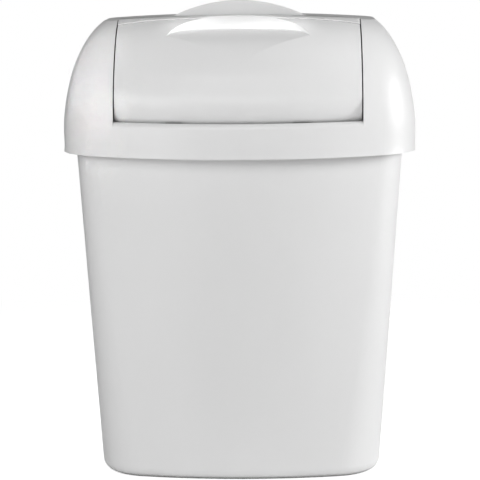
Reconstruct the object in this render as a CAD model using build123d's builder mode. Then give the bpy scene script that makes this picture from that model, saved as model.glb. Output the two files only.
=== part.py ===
"""Swing-flap sanitary bin of about 8 litres, moulded in white plastic.

A tapered bucket carries a lift-off hood. A curved flap hangs on two pins between the hood's cheeks,
swings inwards when it is pushed or tipped by its tab, and is closed again by a torsion spring.
Millimetres. The origin is on the floor under the middle of the bin. The front faces -Y, +Z is up.
"""

import os
from math import asin, atan2, cos, degrees, hypot, radians, sin, sqrt, tan

from build123d import *

os.makedirs("parts", exist_ok=True)

# Bucket
bucket_height = 262.0
bucket_wall = 2.2
side_draft = 17.1
front_draft = 14.5
bucket_top_bow = 245.0
bucket_base_bow = 400.0
bucket_top_corner = 30.0
bucket_base_corner = 40.0
bucket_rear_corner = 14.0
bucket_foot_round = 9.0
foot_ring_width = 9.0
foot_recess = 2.5
rib_thickness = 2.0
rib_count = 3
rib_spacing = 46.0

# Hood, outside, and how it stands over the bucket
hood_width = 276.0
hood_front = -82.5
hood_back = 82.5
hood_wall = 2.4
hood_side_reach = 10.7
hood_front_reach = 10.0
hood_rear_reach = 3.0
rim_overlap = 6.5
skirt_height = 14.5
brow_radius = 90.0
shoulder_lift = 8.5
shoulder_across = 45.0
shoulder_spare = 1.0
bow_radius_rim = 225.0
bow_radius_crest = 285.0
corner_rim = 52.0
corner_crest = 24.0
rear_corner = 16.0
roof_drop = 0.5
roof_crown_radius = 1500.0
rear_roof_radius = 14.0
least_corner = 1.5

# Opening in the hood and the chin below it
cheek_width = 42.8
chin_rise = 12.0
chin_bead_depth = 5.0
chin_bead_height = 6.0
chin_bead_round = 4.2
roof_strip = 8.5
cheek_flange_depth = 12.0
cheek_flange_wall = 2.4

# Ledge and locating ribs that seat the hood on the bucket
ledge_thickness = 2.0
ledge_reach = 10.0
gusset_thickness = 2.0
gusset_clearance = 0.6
gusset_height = 7.0
gusset_spacing = 56.0

# Flap
flap_side_gap = 1.0
flap_rear_gap = 1.5
flap_chin_gap = 1.0
flap_wall = 2.2
flap_tuck_rise = 19.0
flap_tuck_radius = 20.0
flap_lip_drop = 10.0
flap_heel = 36.0
flap_rear_drop = 12.5
liner_wall = 2.0
liner_gap = 0.2

# Finger scoop in the flap's brow
scoop_radius = 64.0
scoop_inset = 19.0
scoop_floor_drop = 34.5
scoop_floor_radius = 64.0

# Tab behind the scoop
tab_width = 104.0
tab_rise = 12.0
tab_wall = 3.0
tab_round = 1.2

# Hinge of the flap, measured from the roof's opening
pivot_forward = 38.0
pivot_drop = 37.5
pin_radius = 3.0
pin_head_radius = 5.0
pin_head_thickness = 2.0
pin_running_clearance = 0.08
pin_press_clearance = 0.02
bush_wall = 1.8
bush_flange_radius = 6.5
bush_flange_thickness = 0.6
ear_radius = 9.0
ear_thickness = 5.0
pin_overhang = 1.5

# Torsion spring on the left pin
spring_wire = 1.0
spring_clearance = 0.7
spring_turns = 5
spring_pitch = 1.25
spring_leg = 9.0
spring_turn = 60.0
retainer_radius = 6.0
retainer_thickness = 1.2

# Wall fixing holes in the bucket's back
fixing_spacing = 120.0
fixing_drop = 57.0
fixing_hole_radius = 2.6
fixing_boss_radius = 9.0

# Bag ring
ring_wall = 1.6
ring_flange_thickness = 1.6
ring_skirt = 14.0
ring_clearance = 0.6

# Rubber pads that stop the flap, and the liner's screws
pad_side_inset = 47.2
pad_width = 14.0
pad_height = 5.0
pad_gap = 0.3
screw_head_radius = 2.8
screw_head_height = 1.4
screw_shank_radius = 1.3
screw_length = 8.0
screw_inset = 13.0
screw_side_inset = 20.2
screw_boss_radius = 3.6

# Levels and lines that follow from the sizes above
bucket_top_width = hood_width - 2 * hood_side_reach
bucket_base_width = hood_width - 2 * (hood_side_reach + side_draft)
bucket_top_front = hood_front + hood_front_reach
bucket_base_front = bucket_top_front + front_draft
bucket_back = hood_back - hood_rear_reach
rim_height = bucket_height - rim_overlap
brow_start = rim_height + skirt_height
shoulder_start = rim_height + shoulder_lift
crest_height = brow_start + brow_radius
shoulder_rise = crest_height + shoulder_spare - shoulder_start
roof_height = crest_height - roof_drop
opening_width = hood_width - 2 * cheek_width
chin_top = brow_start + chin_rise
roof_edge = hood_front + brow_radius + roof_strip
flap_tuck_start = chin_top + flap_tuck_rise
flap_tuck_end = chin_top + flap_chin_gap
flap_lip_height = chin_top - flap_lip_drop
flap_rear_height = roof_height - flap_rear_drop
scoop_back = roof_edge - scoop_inset
scoop_floor_start = roof_height - scoop_floor_drop
pivot_y = roof_edge - pivot_forward
pivot_z = roof_height - pivot_drop
fixing_height = bucket_height - fixing_drop
pad_spacing = opening_width - 2 * pad_side_inset
screw_spacing = opening_width - 2 * screw_side_inset


def bow_sag(bow_radius, half_width):
    """How far a bowed front has fallen back at half_width from the middle."""
    return bow_radius - sqrt(bow_radius**2 - half_width**2)


def level_outline(height, half_width, front, back, bow_radius, corner, rear_corner):
    """A level outline with a bowed front, straight sides and rounded corners."""
    with BuildSketch(Plane.XY.offset(height)) as outline:
        with BuildLine():
            side_start = front + bow_sag(bow_radius, half_width)
            ThreePointArc((-half_width, side_start), (0, front), (half_width, side_start))
            Polyline(
                (half_width, side_start),
                (half_width, back),
                (-half_width, back),
                (-half_width, side_start),
            )
        make_face()
        fillet(outline.vertices().group_by(Axis.Y)[0], max(corner, least_corner))
        fillet(outline.vertices().group_by(Axis.Y)[-1], max(rear_corner, least_corner))
    return outline.sketch


def shoulder_half_width(height, inset):
    """Half the hood's width, which falls in along a quarter of an ellipse above the skirt."""
    climb = max(height - shoulder_start, 0) / (shoulder_rise - inset)
    return hood_width / 2 - shoulder_across + (shoulder_across - inset) * sqrt(1 - climb**2)


def hood_outline(height, front, turn, inset):
    """The hood's outline at one level; turn runs from 0 at the skirt to 1 at the crest."""
    bow_radius = bow_radius_rim + (bow_radius_crest - bow_radius_rim) * turn
    corner = corner_rim + (corner_crest - corner_rim) * turn
    return level_outline(
        height,
        shoulder_half_width(height, inset),
        front,
        hood_back - inset,
        bow_radius - inset,
        corner - inset,
        rear_corner - inset,
    )


def brow_outline(angle, inset):
    """The hood's outline where its brow has turned back by an angle in degrees."""
    reach = brow_radius - inset
    height = brow_start + reach * sin(radians(angle))
    front = hood_front + brow_radius - reach * cos(radians(angle))
    return hood_outline(height, front, angle / 90, inset)


def roof_trim(inset):
    """Everything under the crowned roof, with the rounding at the roof's rear."""
    crown_radius = roof_crown_radius - inset
    top = roof_height - inset
    reach = hood_width
    with BuildPart() as trim:
        with BuildSketch(Plane.XZ.offset(-reach)):
            with BuildLine():
                edge = top - bow_sag(crown_radius, reach)
                ThreePointArc((-reach, edge), (0, top), (reach, edge))
                Polyline((reach, edge), (reach, 0), (-reach, 0), (-reach, edge))
            make_face()
        extrude(amount=2 * reach)
        with BuildSketch(Plane.YZ.offset(-reach)) as side:
            with Locations((hood_back - inset - reach, top / 2)):
                Rectangle(2 * reach, top)
            rear_top = side.vertices().sort_by(Axis.X)[-2:].sort_by(Axis.Y)[-1]
            fillet(rear_top, max(rear_roof_radius - inset, least_corner))
        extrude(amount=2 * reach, mode=Mode.INTERSECT)
    return trim.part


def hood_block(inset):
    """The hood as one solid, each surface moved inwards by inset."""
    base = rim_height - inset
    skirt = hood_outline(base, hood_front + inset, 0, inset)
    brow = [brow_outline(angle, inset) for angle in (0, 15, 30, 45, 60, 72, 82, 88)]
    with BuildPart() as block:
        loft([skirt] + brow)
        add(roof_trim(inset), mode=Mode.INTERSECT)
    return block.part


def bucket_outline(height, inset):
    """The bucket's outline at one level, with its draft."""
    rise = height / bucket_height
    return level_outline(
        height,
        (bucket_base_width + (bucket_top_width - bucket_base_width) * rise) / 2 - inset,
        bucket_base_front + (bucket_top_front - bucket_base_front) * rise + inset,
        bucket_back - inset,
        bucket_base_bow + (bucket_top_bow - bucket_base_bow) * rise - inset,
        bucket_base_corner + (bucket_top_corner - bucket_base_corner) * rise - inset,
        bucket_rear_corner - inset,
    )


def bucket_block(base, top, inset, foot_round=0):
    """The bucket's form between two levels, with a rounded foot."""
    with BuildPart() as block:
        loft([bucket_outline(base, inset), bucket_outline(top, inset)], ruled=True)
        if foot_round:
            fillet(block.faces().sort_by(Axis.Z)[0].edges(), foot_round)
    return block.part


# The tuck turns the flap's face back behind the chin with a smaller arc
tuck_angle = degrees(asin((flap_tuck_start - brow_start) / brow_radius))
tuck_y = hood_front + brow_radius - (brow_radius - flap_tuck_radius) * cos(radians(tuck_angle))
tuck_z = flap_tuck_start - flap_tuck_radius * sin(radians(tuck_angle))
tuck_end_angle = degrees(asin((flap_tuck_end - tuck_z) / flap_tuck_radius))


def tuck_outline(angle, inset, drop=0):
    """The flap's outline on its tuck, or a drop below the tuck's end along the tangent."""
    reach = flap_tuck_radius - inset
    height = tuck_z + reach * sin(radians(angle)) - drop
    front = tuck_y - reach * cos(radians(angle)) - drop * tan(radians(angle))
    return hood_outline(height, front, max(angle, 0) / 90, inset)


def flap_block(inset):
    """The flap's outer form as one solid, each surface moved inwards by inset."""
    lip = tuck_outline(tuck_end_angle, inset, flap_tuck_end - flap_lip_height + flap_wall)
    tuck_step = (tuck_angle - tuck_end_angle) / 4
    tuck = [tuck_outline(tuck_end_angle + tuck_step * step, inset) for step in range(4)]
    brow = [brow_outline(angle, inset) for angle in (tuck_angle, 32, 45, 60, 72, 82, 88)]
    with BuildPart() as block:
        loft([lip, tuck[0]], ruled=True)
        loft(tuck + brow)
        add(roof_trim(inset), mode=Mode.INTERSECT)
    return block.part


def side_prism(points, half_width, start=None):
    """A prism across the bin from a side-view outline, between start and half_width."""
    left = -half_width if start is None else start
    with BuildPart() as prism:
        with BuildSketch(Plane.YZ.offset(left)):
            with BuildLine():
                Polyline(*points, close=True)
            make_face()
        extrude(amount=half_width - left)
    return prism.part


# Places shared by the hood and the flap
beyond = 120.0
opening_half = opening_width / 2
flap_half = opening_half - flap_side_gap
flap_rear = roof_edge - flap_rear_gap
heel_y = hood_front + flap_heel
chord_slope = atan2(flap_rear_height - flap_lip_height, flap_rear - heel_y)


def chord_point(along, raise_by):
    """A point along the flap's chord, raised square to it into the flap."""
    y = heel_y + along * cos(chord_slope) - raise_by * sin(chord_slope)
    z = flap_lip_height + along * sin(chord_slope) + raise_by * cos(chord_slope)
    return (y, z)


def flap_region(raise_by, rear, half_width):
    """The space over the flap's chord and lip, where its moulding may be."""
    floor = flap_lip_height + raise_by
    corner_y = heel_y - raise_by * tan(chord_slope / 2)
    rear_z = floor + (rear - corner_y) * tan(chord_slope)
    top = roof_height + beyond
    points = [(-beyond, floor), (corner_y, floor), (rear, rear_z), (rear, top), (-beyond, top)]
    return side_prism(points, half_width)


def across(radius, start, end, y=pivot_y, z=pivot_z):
    """A round bar across the bin, from x = start to x = end."""
    with BuildPart() as bar:
        with BuildSketch(Plane.YZ.offset(start)):
            with Locations((y, z)):
                Circle(radius)
        extrude(amount=end - start)
    return bar.part


# Radii of the hinge, from the pin outwards
bush_bore = pin_radius + pin_running_clearance
bush_radius = bush_bore + bush_wall
ear_bore = bush_radius + pin_press_clearance
ear_outer = opening_half + ear_thickness
sides = {"left": -1, "right": 1}

# Hood: a shell with a crowned roof, cheeks and a chin round the flap's opening
bead_base = chin_top - chin_bead_height
opening = [(-beyond, bead_base), (roof_edge, bead_base), (roof_edge, roof_height + beyond)]
opening += [(-beyond, roof_height + beyond)]
bead_box = [(-beyond, bead_base), (0, bead_base), (0, chin_top), (-beyond, chin_top)]
flange_end = roof_edge + cheek_flange_wall
flange_box = [(-beyond, bead_base), (flange_end, bead_base), (flange_end, roof_height + beyond)]
flange_box += [(-beyond, roof_height + beyond)]

with BuildPart() as chin_bead:
    add(hood_block(0))
    add(side_prism(bead_box, opening_half), mode=Mode.INTERSECT)
    add(hood_block(chin_bead_depth), mode=Mode.SUBTRACT)
    bead_top = chin_bead.faces().sort_by(Axis.Z)[-1]
    fillet(bead_top.edges().sort_by(Axis.Y)[0], chin_bead_round)

with BuildPart() as opening_flange:
    add(hood_block(hood_wall / 4))
    add(side_prism(flange_box, opening_half + cheek_flange_wall), mode=Mode.INTERSECT)
    add(hood_block(cheek_flange_depth), mode=Mode.SUBTRACT)
    add(side_prism(opening, opening_half), mode=Mode.SUBTRACT)

# The ledge under the skirt that rests on the bag ring, with ribs that centre it on the bucket
ledge_base = bucket_height + ring_flange_thickness


def skirt_outline(height, inset):
    """The hood's outline in its straight skirt."""
    return hood_outline(height, hood_front + inset, 0, inset)


with BuildPart() as ledge:
    extrude(skirt_outline(ledge_base, hood_wall / 2), amount=ledge_thickness)
    extrude(skirt_outline(ledge_base, hood_wall + ledge_reach), amount=ledge_thickness, mode=Mode.SUBTRACT)

with BuildPart() as gussets:
    extrude(skirt_outline(ledge_base - gusset_height, hood_wall / 2), amount=gusset_height)
    with BuildSketch(Plane.XY.offset(ledge_base - gusset_height)):
        with GridLocations(0, gusset_spacing, 1, 2):
            Rectangle(hood_width, gusset_thickness)
        with Locations((-gusset_spacing, -beyond), (gusset_spacing, -beyond)):
            Rectangle(gusset_thickness, 2 * beyond)
    extrude(amount=gusset_height, mode=Mode.INTERSECT)
    # The ribs stop short of the bucket by their clearance
    add(bucket_block(0, ledge_base, -gusset_clearance), mode=Mode.SUBTRACT)

with BuildPart() as hood:
    add(hood_block(0))
    add(hood_block(hood_wall), mode=Mode.SUBTRACT)
    add(side_prism(opening, opening_half), mode=Mode.SUBTRACT)
    add(opening_flange.part)
    add(chin_bead.part)
    add(ledge.part)
    add(gussets.part)
    for side in sides.values():
        add(across(ear_radius, side * opening_half, side * ear_outer))
        add(across(ear_bore, side * (opening_half - 1), side * (ear_outer + 1)), mode=Mode.SUBTRACT)
hood.part.label = "hood"

# Flap: a skin with side walls and a rear wall, open towards the bin
with BuildPart() as flap_cavity:
    add(flap_block(flap_wall))
    add(flap_region(0, flap_rear - flap_wall, flap_half - flap_wall), mode=Mode.INTERSECT)

with BuildPart() as scoop_cut:
    with BuildSketch(Plane.XY.offset(scoop_floor_start)):
        with Locations((0, scoop_back - scoop_radius)):
            Circle(scoop_radius)
    extrude(amount=roof_height - scoop_floor_start + flap_wall)
    # The floor is an arc that leaves the flap's face along its tangent
    floor_angle = asin((scoop_floor_start - brow_start) / brow_radius)
    floor_y = hood_front + brow_radius - (brow_radius - scoop_floor_radius) * cos(floor_angle)
    floor_z = brow_start + (brow_radius - scoop_floor_radius) * sin(floor_angle)
    reach = flap_half
    add(across(scoop_floor_radius, -reach, reach, floor_y, floor_z), mode=Mode.SUBTRACT)

with BuildPart() as scoop_wall:
    with BuildSketch(Plane.XY.offset(scoop_floor_start)):
        with Locations((0, scoop_back - scoop_radius)):
            Circle(scoop_radius + flap_wall)
    extrude(amount=roof_height - scoop_floor_start + flap_wall)
    add(across(scoop_floor_radius - flap_wall, -reach, reach, floor_y, floor_z), mode=Mode.SUBTRACT)
    add(flap_block(flap_wall / 4), mode=Mode.INTERSECT)

with BuildPart() as tab:
    with BuildSketch(Plane.XZ.offset(-flap_rear)):
        with BuildLine():
            foot = roof_height - tab_wall
            tab_top = roof_height + tab_rise
            ThreePointArc((-tab_width / 2, roof_height), (0, tab_top), (tab_width / 2, roof_height))
            Polyline(
                (tab_width / 2, roof_height),
                (tab_width / 2, foot),
                (-tab_width / 2, foot),
                (-tab_width / 2, roof_height),
            )
        make_face()
    extrude(amount=tab_wall)
    crown = tab.faces().sort_by(Axis.Z)[-1]
    fillet(crown.edges().filter_by(GeomType.CIRCLE), tab_round)

# Bosses for the liner's screws stand square to the chord, in two rows
chord_length = hypot(flap_rear - heel_y, flap_rear_height - flap_lip_height)
chord_normal = (0, -sin(chord_slope), cos(chord_slope))


def chord_plane(along, raise_by):
    """A plane on the flap's chord that faces into the flap."""
    y, z = chord_point(along, raise_by)
    return Plane(origin=(0, y, z), x_dir=(1, 0, 0), z_dir=chord_normal)


screw_rows = (screw_inset, chord_length - screw_inset)


def screw_bars(radius, base, length):
    """Round bars square to the chord at each of the liner's screws."""
    with BuildPart() as bars:
        for along in screw_rows:
            with BuildSketch(chord_plane(along, base)):
                with GridLocations(screw_spacing, 0, 2, 1):
                    Circle(radius)
            extrude(amount=length)
    return bars.part


with BuildPart() as screw_bosses:
    add(screw_bars(screw_boss_radius, liner_wall, brow_radius))
    add(flap_block(flap_wall / 2), mode=Mode.INTERSECT)
    add(flap_region(0, flap_rear, flap_half), mode=Mode.INTERSECT)

with BuildPart() as swing_flap:
    add(flap_block(0))
    add(flap_region(0, flap_rear, flap_half), mode=Mode.INTERSECT)
    add(flap_cavity.part, mode=Mode.SUBTRACT)
    add(scoop_wall.part)
    add(screw_bosses.part)
    add(scoop_cut.part, mode=Mode.SUBTRACT)
    shank_hole = screw_shank_radius + pin_press_clearance
    add(screw_bars(shank_hole, 0, screw_length + liner_gap), mode=Mode.SUBTRACT)
    add(tab.part)
    for side in sides.values():
        pin_hole = pin_radius + pin_press_clearance
        start = side * (flap_half - flap_wall - 1)
        add(across(pin_hole, start, side * (flap_half + 1)), mode=Mode.SUBTRACT)
swing_flap.part.label = "swing_flap"

# Liner that closes the flap's back
with BuildPart() as flap_liner:
    add(flap_block(flap_wall + liner_gap))
    inside = flap_half - flap_wall - liner_gap
    rear = flap_rear - flap_wall - liner_gap
    add(flap_region(0, rear, inside), mode=Mode.INTERSECT)
    add(flap_region(liner_wall, flap_rear, flap_half), mode=Mode.SUBTRACT)
    add(screw_bars(screw_shank_radius + liner_gap, -1, liner_wall + 2), mode=Mode.SUBTRACT)
flap_liner.part.label = "flap_liner"

with BuildPart() as liner_screws:
    add(screw_bars(screw_head_radius, -screw_head_height, screw_head_height))
    fillet(liner_screws.edges().filter_by(GeomType.CIRCLE).group_by(Axis.Z)[0], screw_head_height / 3)
    add(screw_bars(screw_shank_radius, 0, screw_length))
liner_screws.part.label = "liner_screws"

# Bucket
floor_top = foot_recess + bucket_wall
recess_inset = bucket_foot_round + foot_ring_width
fixing_places = [(-fixing_spacing / 2, fixing_height), (fixing_spacing / 2, fixing_height)]

with BuildPart() as foot_recess_cut:
    add(bucket_block(0, foot_recess, recess_inset))
    with BuildSketch(Plane.XY):
        with GridLocations(rib_spacing, 0, rib_count, 1):
            Rectangle(rib_thickness, 2 * bucket_back)
    extrude(amount=foot_recess, mode=Mode.SUBTRACT)

with BuildPart() as bucket:
    add(bucket_block(0, bucket_height, 0, bucket_foot_round))
    with BuildSketch(Plane.XZ.offset(-bucket_back)):
        with Locations(*fixing_places):
            Circle(fixing_boss_radius)
    extrude(amount=-(hood_back - bucket_back))
    inner_round = bucket_foot_round - bucket_wall
    cavity_top = bucket_height + bucket_wall
    add(bucket_block(floor_top, cavity_top, bucket_wall, inner_round), mode=Mode.SUBTRACT)
    add(foot_recess_cut.part, mode=Mode.SUBTRACT)
    with BuildSketch(Plane.XZ.offset(-hood_back)):
        with Locations(*fixing_places):
            Circle(fixing_hole_radius)
    extrude(amount=hood_back - bucket_back + 2 * bucket_wall, mode=Mode.SUBTRACT)
bucket.part.label = "bucket"

# Ring that holds the bag inside the bucket's rim
ring_inset = bucket_wall + ring_clearance
skirt_base = bucket_height - ring_skirt

with BuildPart() as bag_ring:
    add(bucket_block(0, bucket_height, ring_inset))
    extrude(bucket_outline(bucket_height, 0), amount=ring_flange_thickness)
    add(bucket_block(0, bucket_height, ring_inset + ring_wall), mode=Mode.SUBTRACT)
    mouth = bucket_outline(bucket_height, ring_inset + ring_wall)
    extrude(mouth, amount=ring_flange_thickness, mode=Mode.SUBTRACT)
    split(bisect_by=Plane.XY.offset(skirt_base), keep=Keep.TOP)
bag_ring.part.label = "bag_ring"


# Hinge: a bush in each ear, and a headed pin pressed into each side of the flap
def hinge_bush(name, side):
    """A flanged bush for one ear."""
    inner = side * opening_half
    with BuildPart() as bush:
        add(across(bush_radius, inner, side * ear_outer))
        add(across(bush_flange_radius, inner - side * bush_flange_thickness, inner))
        add(across(bush_bore, inner - side, side * (ear_outer + 1)), mode=Mode.SUBTRACT)
    bush.part.label = name
    return bush


def hinge_pin(name, side, length):
    """A headed pin that reaches a length past the flap's side wall."""
    head_face = side * (flap_half - flap_wall)
    with BuildPart() as pin:
        add(across(pin_head_radius, head_face - side * pin_head_thickness, head_face))
        add(across(pin_radius, head_face, side * (flap_half + length)))
        chamfer(pin.faces().sort_by(Axis.X)[-1 if side > 0 else 0].edges(), pin_radius / 5)
        chamfer(pin.faces().sort_by(Axis.X)[0 if side > 0 else -1].edges(), pin_radius / 10)
    pin.part.label = name
    return pin


spring_length = spring_turns * spring_pitch
spring_start = ear_outer + spring_wire / 2 + spring_clearance
spring_radius = pin_radius + spring_clearance + spring_wire / 2
retainer_start = spring_start + spring_length + spring_wire / 2 + pad_gap
short_reach = flap_side_gap + ear_thickness + pin_overhang
long_reach = retainer_start + retainer_thickness + pin_overhang - flap_half
hinge_bushes = [hinge_bush(f"hinge_bush_{name}", side) for name, side in sides.items()]
hinge_pins = [hinge_pin("hinge_pin_left", -1, long_reach), hinge_pin("hinge_pin_right", 1, short_reach)]

# Torsion spring round the left pin, with a leg at each end that points back into the cheek
with BuildPart() as spring_form:
    with BuildLine() as coil:
        Helix(
            pitch=spring_pitch,
            height=spring_length,
            radius=spring_radius,
            center=(-spring_start, pivot_y, pivot_z),
            direction=(-1, 0, 0),
        )
    with BuildSketch(Plane(origin=coil.line @ 0, z_dir=coil.line % 0)):
        Circle(spring_wire / 2)
    sweep()
    for end, way in ((0, -1), (1, 1)):
        with BuildSketch(Plane(origin=coil.line @ end, z_dir=(coil.line % end) * way)):
            Circle(spring_wire / 2)
        extrude(amount=spring_leg)

with BuildPart() as return_spring:
    pivot_axis = Axis((0, pivot_y, pivot_z), (1, 0, 0))
    add(spring_form.part.rotate(pivot_axis, spring_turn))
return_spring.part.label = "return_spring"

with BuildPart() as spring_retainer:
    add(across(retainer_radius, -retainer_start - retainer_thickness, -retainer_start))
    bore = pin_radius + pin_press_clearance
    add(across(bore, -retainer_start - 2 * retainer_thickness, 0), mode=Mode.SUBTRACT)
    chamfer(spring_retainer.edges().filter_by(GeomType.CIRCLE).sort_by(SortBy.RADIUS)[-2:], 0.25)
spring_retainer.part.label = "spring_retainer"


# Rubber pads behind the chin, which the flap's lip rests on
def stop_pad(name, side):
    """A pad that fills the space between the chin's bead and the flap."""
    middle = side * pad_spacing / 2
    pad_base = chin_top - chin_bead_height + pad_gap
    with BuildPart() as pad:
        add(hood_block(chin_bead_depth))
        with BuildSketch(Plane.XY.offset(pad_base)):
            with Locations((middle, hood_front)):
                Rectangle(pad_width, -2 * hood_front)
        extrude(amount=pad_height, mode=Mode.INTERSECT)
        add(flap_block(-pad_gap), mode=Mode.SUBTRACT)
    pad.part.label = name
    return pad


stop_pads = [stop_pad(f"stop_pad_{name}", side) for name, side in sides.items()]

pieces = [hood, swing_flap, flap_liner, bucket, bag_ring, return_spring, spring_retainer]
pieces += hinge_bushes + hinge_pins + stop_pads + [liner_screws]
for piece in pieces:
    export_step(piece.part, f"parts/{piece.part.label}.step")
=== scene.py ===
from math import radians
import bmesh
import bpy
from mathutils import Matrix, Vector


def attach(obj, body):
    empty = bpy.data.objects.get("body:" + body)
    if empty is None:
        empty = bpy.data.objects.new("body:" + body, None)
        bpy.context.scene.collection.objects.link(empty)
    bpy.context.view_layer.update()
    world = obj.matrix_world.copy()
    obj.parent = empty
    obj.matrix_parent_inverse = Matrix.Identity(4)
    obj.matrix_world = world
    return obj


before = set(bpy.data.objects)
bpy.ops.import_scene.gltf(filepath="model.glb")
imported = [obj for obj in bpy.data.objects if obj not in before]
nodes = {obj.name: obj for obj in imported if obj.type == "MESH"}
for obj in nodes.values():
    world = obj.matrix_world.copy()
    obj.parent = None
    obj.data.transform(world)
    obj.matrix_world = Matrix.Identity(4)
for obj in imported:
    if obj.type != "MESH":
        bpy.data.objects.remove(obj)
bpy.context.view_layer.update()
print("frame loaded with", len(nodes), "nodes")


# an object in the scene, from its mesh, lamp or camera data
def newObject(name, data):
    thing = bpy.data.objects.new(name, data)
    bpy.context.scene.collection.objects.link(thing)
    return thing


# camera, as the photograph was taken: a long lens a little above the bin, looking down on it
camera = {
    "place": (0.0323, -1.5422, 0.4214),
    "yaw": 1.2,
    "pitchDown": 8.82,
    "roll": -0.37,
    "lens": 146.9,
    "sensor": 36.0,
    "shiftX": -0.0008,
    "clip": (0.05, 60.0),
}
cameraData = bpy.data.cameras.new("camera")
cameraData.lens = camera["lens"]
cameraData.sensor_width = camera["sensor"]
cameraData.shift_x = camera["shiftX"]
cameraData.clip_start, cameraData.clip_end = camera["clip"]
cameraObject = newObject("camera", cameraData)
turn = Matrix.Rotation(radians(camera["yaw"]), 4, "Z")
turn = turn @ Matrix.Rotation(radians(90 - camera["pitchDown"]), 4, "X")
turn = turn @ Matrix.Rotation(radians(camera["roll"]), 4, "Z")
cameraObject.matrix_world = Matrix.Translation(camera["place"]) @ turn
bpy.context.scene.camera = cameraObject
bpy.context.scene.view_settings.view_transform = "Standard"
print("camera placed")


# an empty node material, with its tree
def newMaterial(name):
    material = bpy.data.materials.new(name)
    material.use_nodes = True
    material.node_tree.nodes.clear()
    return material, material.node_tree


# fills a node's inputs: a socket is joined, and any other value is set
def fillInputs(tree, node, inputs):
    for key, value in inputs.items():
        if isinstance(value, bpy.types.NodeSocket):
            tree.links.new(value, node.inputs[key])
        else:
            node.inputs[key].default_value = value


def addNode(tree, kind, x, y, inputs, **settings):
    node = tree.nodes.new(kind)
    node.location = (x, y)
    for key, value in settings.items():
        setattr(node, key, value)
    fillInputs(tree, node, inputs)
    return node


def mathNode(tree, operation, first, second, x, y):
    node = addNode(tree, "ShaderNodeMath", x, y, {0: first, 1: second}, operation=operation)
    return node.outputs[0]


# one range mapped onto another, and held inside it
def rangeNode(tree, value, source, target, x, y, **settings):
    inputs = {
        "Value": value,
        "From Min": source[0],
        "From Max": source[1],
        "To Min": target[0],
        "To Max": target[1],
    }
    return addNode(tree, "ShaderNodeMapRange", x, y, inputs, **settings).outputs["Result"]


def mixShader(tree, factor, first, second, x, y):
    return addNode(tree, "ShaderNodeMixShader", x, y, {0: factor, 1: first, 2: second}).outputs[0]


# a noise texture on the piece's own coordinates
def noiseNode(tree, coords, noise, x, y):
    source = coords
    if "stretch" in noise:
        mapping = {"Scale": noise["stretch"], "Vector": coords}
        source = addNode(tree, "ShaderNodeMapping", x - 180, y, mapping).outputs["Vector"]
    inputs = {
        "Scale": noise["scale"],
        "Detail": noise["detail"],
        "Roughness": noise["roughness"],
        "Vector": source,
    }
    return addNode(tree, "ShaderNodeTexNoise", x, y, inputs).outputs["Fac"]


# a colour ramp, from the places of its stops and their colours
def rampNode(tree, factor, places, colours, x, y):
    node = addNode(tree, "ShaderNodeValToRGB", x, y, {"Fac": factor})
    stops = node.color_ramp.elements
    stops[0].position, stops[0].color = places[0], (*colours[0], 1)
    stops[1].position, stops[1].color = places[-1], (*colours[-1], 1)
    for place, colour in zip(places[1:-1], colours[1:-1]):
        stops.new(place).color = (*colour, 1)
    return node.outputs["Color"]


# a relief of a given depth, on top of another one where there is one
def bumpNode(tree, height, depth, x, y, under=None):
    inputs = {"Strength": 1.0, "Distance": depth, "Height": height}
    if under:
        inputs["Normal"] = under
    return addNode(tree, "ShaderNodeBump", x, y, inputs).outputs["Normal"]


# a material with one shader, and the coordinates of the piece it is on
def newFinish(name):
    material, tree = newMaterial(name)
    coords = addNode(tree, "ShaderNodeTexCoord", -1200, 0, {}).outputs["Object"]
    shader = addNode(tree, "ShaderNodeBsdfPrincipled", 300, 0, {})
    addNode(tree, "ShaderNodeOutputMaterial", 600, 0, {"Surface": shader.outputs["BSDF"]})
    return material, tree, coords, shader


# moulded plastic: faint flow marks in the colour, uneven gloss, a fine moulded grain, and painted
# shade in narrow gaps
def mouldedPlastic(name, settings):
    material, tree, coords, shader = newFinish(name)
    base = settings["colour"]
    low = tuple(part * (1 - settings["variation"]) for part in base)
    high = tuple(min(part * (1 + settings["variation"]), 1) for part in base)
    flow = noiseNode(tree, coords, settings["flow"], -800, 300)
    colour = rampNode(tree, flow, settings["flowStops"], (low, base, high), -500, 300)
    # painted shade: the colour is darkened where ambient occlusion finds narrow gaps, as if
    # little light reaches them
    depth = {"Distance": settings["seamDepth"]}
    seam = addNode(
        tree, "ShaderNodeAmbientOcclusion", -500, 600, depth, samples=settings["seamSamples"]
    )
    seamRange = (0.0, settings["seamOpen"])
    paintedShade = rangeNode(tree, seam.outputs["AO"], seamRange, (settings["seamShade"], 1.0), -250, 600)
    # the painted shade scales the plastic's colour down
    dimmed = {0: colour, "Scale": paintedShade}
    shaded = addNode(tree, "ShaderNodeVectorMath", 0, 300, dimmed, operation="SCALE")
    cloud = noiseNode(tree, coords, settings["cloud"], -800, 0)
    gloss = rangeNode(tree, cloud, settings["cloudRange"], settings["roughness"], -500, 0)
    # the grain lies on the slight waviness of a moulded wall
    grain = noiseNode(tree, coords, settings["grain"], -800, -300)
    wave = noiseNode(tree, coords, settings["wave"], -800, -600)
    waveBump = bumpNode(tree, wave, settings["waveDepth"], -300, -600)
    relief = bumpNode(tree, grain, settings["grainDepth"], -50, -300, waveBump)
    surface = {
        "IOR": settings["ior"],
        "Base Color": shaded.outputs["Vector"],
        "Roughness": gloss,
        "Normal": relief,
    }
    fillInputs(tree, shader, surface)
    return material


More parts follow.
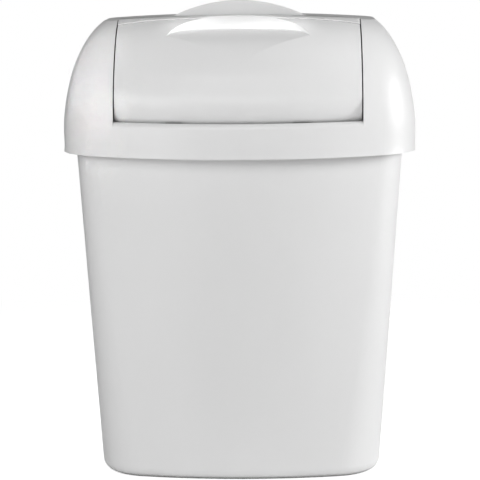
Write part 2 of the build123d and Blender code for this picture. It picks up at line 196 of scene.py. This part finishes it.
bodyPlastic = {
    "colour": (0.80, 0.80, 0.80),
    "variation": 0.012,
    "flow": {"scale": 14.0, "detail": 4.0, "roughness": 0.55, "stretch": (1.0, 1.0, 0.45)},
    "flowStops": (0.3, 0.5, 0.7),
    "cloud": {"scale": 30.0, "detail": 6.0, "roughness": 0.6},
    "cloudRange": (0.3, 0.7),
    "roughness": (0.34, 0.42),
    "grain": {"scale": 2200.0, "detail": 3.0, "roughness": 0.5},
    "grainDepth": 0.000012,
    "wave": {"scale": 22.0, "detail": 1.0, "roughness": 0.4},
    "waveDepth": 0.00004,
    "ior": 1.46,
    "seamDepth": 0.008,
    "seamOpen": 0.5,
    "seamShade": 0.04,
    "seamSamples": 8,
}
insidePlastic = dict(
    bodyPlastic, colour=(0.76, 0.76, 0.76), roughness=(0.46, 0.56), grainDepth=0.00002
)
acetalPlastic = dict(
    bodyPlastic,
    colour=(0.70, 0.69, 0.66),
    roughness=(0.38, 0.5),
    flow=dict(bodyPlastic["flow"], scale=120.0),
    cloud=dict(bodyPlastic["cloud"], scale=220.0),
)


# steel with fine drawn lines and a little tarnish
def drawnSteel(name, settings):
    material, tree, coords, shader = newFinish(name)
    tarnish = noiseNode(tree, coords, settings["tarnish"], -800, 300)
    tones = (settings["dark"], settings["bright"])
    lines = noiseNode(tree, coords, settings["lines"], -800, -100)
    surface = {
        "Metallic": 1.0,
        "Base Color": rampNode(tree, tarnish, settings["stops"], tones, -500, 300),
        "Roughness": rangeNode(tree, lines, (0.0, 1.0), settings["roughness"], -500, -100),
        "Normal": bumpNode(tree, lines, settings["lineDepth"], -50, -300),
    }
    fillInputs(tree, shader, surface)
    return material


springSteel = {
    "dark": (0.38, 0.38, 0.40),
    "bright": (0.58, 0.58, 0.60),
    "stops": (0.35, 0.65),
    "tarnish": {"scale": 300.0, "detail": 5.0, "roughness": 0.6},
    "lines": {"scale": 1500.0, "detail": 2.0, "roughness": 0.5, "stretch": (1.0, 1.0, 0.2)},
    "lineDepth": 0.00001,
    "roughness": (0.22, 0.42),
}
zincSteel = dict(
    springSteel, dark=(0.50, 0.51, 0.53), bright=(0.66, 0.67, 0.68), roughness=(0.28, 0.5)
)


# matt rubber with a bloom and a fine grain
def softRubber(name, settings):
    material, tree, coords, shader = newFinish(name)
    bloom = noiseNode(tree, coords, settings["bloom"], -800, 300)
    tones = (settings["dark"], settings["bright"])
    grain = noiseNode(tree, coords, settings["grain"], -800, -300)
    surface = {
        "Base Color": rampNode(tree, bloom, settings["stops"], tones, -500, 300),
        "Roughness": rangeNode(tree, bloom, (0.0, 1.0), settings["roughness"], -500, 0),
        "Normal": bumpNode(tree, grain, settings["grainDepth"], -50, -300),
    }
    fillInputs(tree, shader, surface)
    return material


padRubber = {
    "dark": (0.018, 0.018, 0.018),
    "bright": (0.045, 0.045, 0.045),
    "stops": (0.35, 0.7),
    "bloom": {"scale": 260.0, "detail": 5.0, "roughness": 0.6},
    "roughness": (0.62, 0.82),
    "grain": {"scale": 1800.0, "detail": 3.0, "roughness": 0.5},
    "grainDepth": 0.00003,
}

finishes = {
    "hood": mouldedPlastic("hoodPlastic", bodyPlastic),
    "swing_flap": mouldedPlastic("flapPlastic", bodyPlastic),
    "bucket": mouldedPlastic("bucketPlastic", bodyPlastic),
    "flap_liner": mouldedPlastic("linerPlastic", insidePlastic),
    "bag_ring": mouldedPlastic("ringPlastic", insidePlastic),
    "hinge_bush_left": mouldedPlastic("bushPlastic", acetalPlastic),
    "hinge_pin_left": mouldedPlastic("pinPlastic", acetalPlastic),
    "return_spring": drawnSteel("springSteel", springSteel),
    "spring_retainer": drawnSteel("retainerSteel", zincSteel),
    "liner_screws": drawnSteel("screwSteel", zincSteel),
    "stop_pad_left": softRubber("padRubber", padRubber),
}
for pair in ("hinge_bush", "hinge_pin", "stop_pad"):
    finishes[pair + "_right"] = finishes[pair + "_left"]
for nodeName, node in nodes.items():
    for slot in node.material_slots:
        slot.material = finishes[nodeName]
print("materials made")

# the flap's roof strip: the part of its skin behind the crest line, which stands a little proud
crestSettings = {
    "line": -0.010,
    "lowest": 0.3512,
    "highest": 0.3599,
    "upward": 0.5,  # faces steeper than this are left out
    "proud": 0.0008,
    "weld": 0.000005,
    "cutWithin": 0.000001,
}


def crestStrip(name, settings):
    mesh = nodes["swing_flap"].data.copy()
    mesh.name = name
    shape = bmesh.new()
    shape.from_mesh(mesh)
    bmesh.ops.remove_doubles(shape, verts=shape.verts, dist=settings["weld"])
    bmesh.ops.bisect_plane(
        shape,
        geom=shape.verts[:] + shape.edges[:] + shape.faces[:],
        dist=settings["cutWithin"],
        plane_co=(0, settings["line"], 0),
        plane_no=(0, 1, 0),
        clear_inner=True,
    )
    shape.normal_update()
    away = []
    for face in shape.faces:
        inHeight = settings["lowest"] <= face.calc_center_median().z <= settings["highest"]
        if face.normal.z < settings["upward"] or not inHeight:
            away.append(face)
    bmesh.ops.delete(shape, geom=away, context="FACES")
    for face in shape.faces:
        face.smooth = True
    mesh.clear_geometry()
    shape.to_mesh(mesh)
    shape.free()
    mesh.materials.clear()
    mesh.materials.append(finishes["swing_flap"])
    strip = newObject(name, mesh)
    thick = strip.modifiers.new("thick", "SOLIDIFY")
    thick.thickness = settings["proud"]
    thick.offset = 1.0
    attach(strip, "flap")
    print("crest strip has", len(mesh.polygons), "faces")


crestStrip("crestStrip", crestSettings)

# a wide pale floor: it takes the bin's shadow close by, and is plain white further off
floorSettings = {
    "half": 60.0,
    "shade": 0.90,
    "glow": 0.80,
    "shadowReach": 0.25,
    "whiteFrom": 0.75,
}


# the camera sees the floor lightened, and gloss and soft light meet it as it is
def floorFinish(name, settings):
    material, tree = newMaterial(name)
    colour = (*[settings["shade"]] * 3, 1)
    bare = addNode(tree, "ShaderNodeBsdfDiffuse", 0, 200, {"Color": colour}).outputs[0]
    glow = addNode(tree, "ShaderNodeEmission", 0, 0, {"Strength": settings["glow"]}).outputs[0]
    near = addNode(tree, "ShaderNodeAddShader", 200, 100, {0: bare, 1: glow}).outputs[0]
    far = addNode(tree, "ShaderNodeEmission", 200, -100, {}).outputs[0]
    place = addNode(tree, "ShaderNodeTexCoord", -600, -300, {}).outputs["Object"]
    length = addNode(tree, "ShaderNodeVectorMath", -400, -300, {0: place}, operation="LENGTH")
    distance = length.outputs["Value"]
    reach = (settings["shadowReach"], settings["whiteFrom"])
    fade = rangeNode(
        tree, distance, reach, (0.0, 1.0), -200, -300, interpolation_type="SMOOTHSTEP"
    )
    seen = mixShader(tree, fade, near, far, 400, 0)
    path = addNode(tree, "ShaderNodeLightPath", 200, 600, {})
    mixed = mixShader(tree, path.outputs["Is Camera Ray"], bare, seen, 600, 200)
    addNode(tree, "ShaderNodeOutputMaterial", 800, 200, {"Surface": mixed})
    return material


floorMesh = bpy.data.meshes.new("floor")
floorShape = bmesh.new()
bmesh.ops.create_grid(floorShape, x_segments=1, y_segments=1, size=floorSettings["half"])
floorShape.to_mesh(floorMesh)
floorShape.free()
floorMesh.materials.append(floorFinish("floorWhite", floorSettings))
floor = newObject("floor", floorMesh)

# the world: white where the camera sees it, and a soft fill for the bin
worldSettings = {
    "fill": 0.10,
    "seen": 1.3,
    "rearGloss": 0.08,  # gloss sees a darker room behind the bin
    "turnsAt": (-0.3, 0.2),
    "topAt": (0.45, 0.85),  # and a bright one above it
}


def makeWorld(name, settings):
    world = bpy.data.worlds.new(name)
    bpy.context.scene.world = world
    world.use_nodes = True
    tree = world.node_tree
    tree.nodes.clear()
    path = addNode(tree, "ShaderNodeLightPath", -900, -500, {}).outputs
    way = addNode(tree, "ShaderNodeTexCoord", -1100, -300, {}).outputs["Generated"]
    parts = addNode(tree, "ShaderNodeSeparateXYZ", -900, -300, {0: way}).outputs
    toRear = (1.0, settings["rearGloss"])
    rear = rangeNode(tree, parts["Y"], settings["turnsAt"], toRear, -700, -300)
    top = rangeNode(tree, parts["Z"], settings["topAt"], (0.0, 1.0), -700, -600)
    gloss = mathNode(tree, "MAXIMUM", rear, top, -600, -450)
    white = mathNode(tree, "MULTIPLY", path["Is Camera Ray"], settings["seen"], -650, -700)
    strength = mathNode(tree, "MAXIMUM", gloss, white, -450, -300)
    # rays that show the background: from the camera, or through gloss and clear pieces
    either = mathNode(tree, "MAXIMUM", path["Is Camera Ray"], path["Is Glossy Ray"], -420, 300)
    shown = mathNode(tree, "MAXIMUM", either, path["Is Transmission Ray"], -240, 300)
    soft = addNode(tree, "ShaderNodeBackground", -200, 0, {"Strength": settings["fill"]})
    bright = addNode(tree, "ShaderNodeBackground", -200, -200, {"Strength": strength})
    mixed = mixShader(tree, shown, soft.outputs[0], bright.outputs[0], 200, 0)
    addNode(tree, "ShaderNodeOutputWorld", 400, 0, {"Surface": mixed})


makeWorld("studio", worldSettings)

# three large soft boxes for the whole bin, and three narrow ones for parts of the hood
lamps = {
    "softRight": {
        "place": (2.348, 0.0, 0.70),
        "aim": (0.0, 0.0, 0.2),
        "size": (0.8, 1.2),
        "power": 43.0,
        "spread": 180,
    },
    "softLeft": {
        "place": (-1.45, -1.85, 0.70),
        "aim": (0.0, 0.0, 0.2),
        "size": (0.6, 1.2),
        "power": 15.0,
        "spread": 180,
    },
    "softFront": {
        "place": (-0.25, -1.966, 1.62),
        "aim": (0.0, 0.0, 0.2),
        "size": (1.5, 1.2),
        "power": 22.0,
        "spread": 180,
    },
    "softBrow": {
        "place": (-0.05, -1.25, 1.05),
        "aim": (-0.02, -0.05, 0.355),
        "size": (0.30, 0.04),
        "power": 0.008,
        "spread": 4.0,
    },
    "softCheek": {
        "place": (-0.55, -1.48, 0.62),
        "aim": (-0.125, -0.05, 0.300),
        "size": (0.04, 0.10),
        "power": 0.0042,
        "spread": 3.5,
    },
    "softScoop": {
        "place": (0.0, -1.30, 0.85),
        "aim": (0.0, -0.032, 0.357),
        "size": (0.11, 0.005),
        "power": 0.0027,
        "spread": 1.2,
    },
}


def softBox(name, settings):
    data = bpy.data.lights.new(name, "AREA")
    data.shape = "RECTANGLE"
    data.size, data.size_y = settings["size"]
    data.energy = settings["power"]
    data.spread = radians(settings["spread"])
    lamp = newObject(name, data)
    lamp.location = settings["place"]
    sight = Vector(settings["aim"]) - Vector(settings["place"])
    lamp.rotation_euler = sight.to_track_quat("-Z", "Y").to_euler()


for lampName, lampSettings in lamps.items():
    softBox(lampName, lampSettings)
print("floor, world and lamps set")
